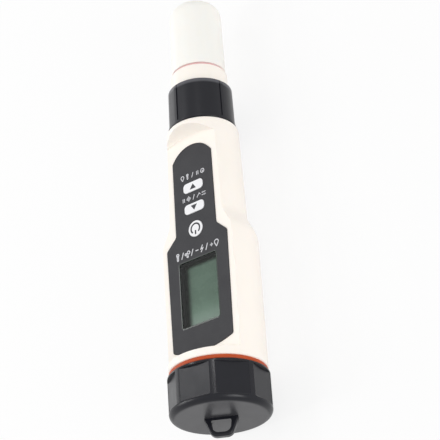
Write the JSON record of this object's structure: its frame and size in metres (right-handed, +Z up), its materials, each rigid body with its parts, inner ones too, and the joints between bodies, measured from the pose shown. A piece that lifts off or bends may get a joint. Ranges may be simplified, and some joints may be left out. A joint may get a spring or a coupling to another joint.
{
  "type": "water quality test pen",
  "caption": "Pen-shaped water tester with a flat display panel, three keys, screw-on battery cap with lanyard eye, and a capped plug-in probe held by a nut.",
  "frame": {"origin": "on the table under the middle of the pen, which lies on its back with the display up", "axes": "+Y along the pen towards the probe, +Z up out of the display panel, +X across to the right when the probe points away"},
  "size_m": [0.038, 0.1862, 0.038],
  "materials": {
    "white_shell": "smooth moulded, satin",
    "dark_panel": "matte film",
    "clear_window": "clear, polished",
    "black_inner": "matte moulded",
    "display_glass": "grey-green display",
    "black_rubber": "matte",
    "green_board": "solder mask",
    "steel": "plain",
    "orange_rubber": "smooth",
    "black_shell": "fine satin",
    "probe_white": "smooth moulded",
    "gilt_brass": "gilt",
    "clear_glass": "clear",
    "platinum": "polished",
    "ceramic": "porous",
    "red_rubber": "smooth",
    "cap_white": "translucent milky",
    "sponge": "open cell foam",
    "white_key": "smooth"
  },
  "bodies": {
    "body": {"housing": "white_shell", "front_panel": "dark_panel", "display_window": "clear_window", "display_bezel": "black_inner", "display_cell": "display_glass", "connector_strips": "black_rubber", "circuit_board": "green_board", "board_chips": "black_inner", "board_screws": "steel", "inner_frame": "black_inner", "battery_tube": "black_inner", "tube_terminal": "steel", "seal_ring": "orange_rubber", "probe_socket": "black_inner", "power_switch": "steel", "up_switch": "steel", "down_switch": "steel", "button_cell_1": "steel", "button_cell_2": "steel", "button_cell_3": "steel", "button_cell_4": "steel"},
    "battery_contact": {"contact_disc": "steel", "contact_spring": "steel"},
    "battery_cap": {"battery_cap": "black_shell"},
    "probe": {"probe_housing": "probe_white", "probe_collar": "probe_white", "probe_o_ring": "black_rubber", "pin_carrier": "black_inner", "contact_pins": "gilt_brass", "glass_electrode": "clear_glass", "redox_electrode": "platinum", "temperature_sensor": "steel", "reference_junction": "ceramic", "cap_gasket": "red_rubber"},
    "coupling_nut": {"coupling_nut": "black_shell"},
    "protective_cap": {"protective_cap": "cap_white", "storage_sponge": "sponge"},
    "power_key": {"power_key": "white_key", "power_plunger": "black_inner"},
    "up_key": {"up_key": "white_key", "up_plunger": "black_inner"},
    "down_key": {"down_key": "white_key", "down_plunger": "black_inner"}
  },
  "joints": [
    {"name": "battery_cap_travel", "type": "slide", "parent": "body", "child": "battery_contact", "axis": [0, -1, 0], "range_m": [0, 0.01187]},
    {"name": "battery_cap_turn", "type": "hinge", "parent": "battery_contact", "child": "battery_cap", "pos_m": [0, -0.07808, 0.019], "axis": [0, -1, 0], "range_deg": [0, 1710]},
    {"name": "probe_travel", "type": "slide", "parent": "body", "child": "probe", "axis": [0, 1, 0], "range_m": [0, 0.00956]},
    {"name": "coupling_nut_turn", "type": "hinge", "parent": "probe", "child": "coupling_nut", "pos_m": [0, 0.04263, 0.019], "axis": [0, 1, 0], "range_deg": [0, 1530]},
    {"name": "protective_cap_pull", "type": "slide", "parent": "probe", "child": "protective_cap", "axis": [0, 1, 0], "range_m": [0, 0.036]},
    {"name": "power_key_press", "type": "slide", "parent": "body", "child": "power_key", "axis": [0, 0, -1], "range_m": [0, 0.0004], "stiffness_N_per_m": 1500, "springref_m": -0.0004},
    {"name": "up_key_press", "type": "slide", "parent": "body", "child": "up_key", "axis": [0, 0, -1], "range_m": [0, 0.0004], "stiffness_N_per_m": 1500, "springref_m": -0.0004},
    {"name": "down_key_press", "type": "slide", "parent": "body", "child": "down_key", "axis": [0, 0, -1], "range_m": [0, 0.0004], "stiffness_N_per_m": 1500, "springref_m": -0.0004}
  ],
  "couplings": [
    {"joint": "battery_cap_turn", "follows": "battery_cap_travel", "rad_per_m": 2513.3},
    {"joint": "coupling_nut_turn", "follows": "probe_travel", "rad_per_m": 2792.5}
  ]
}
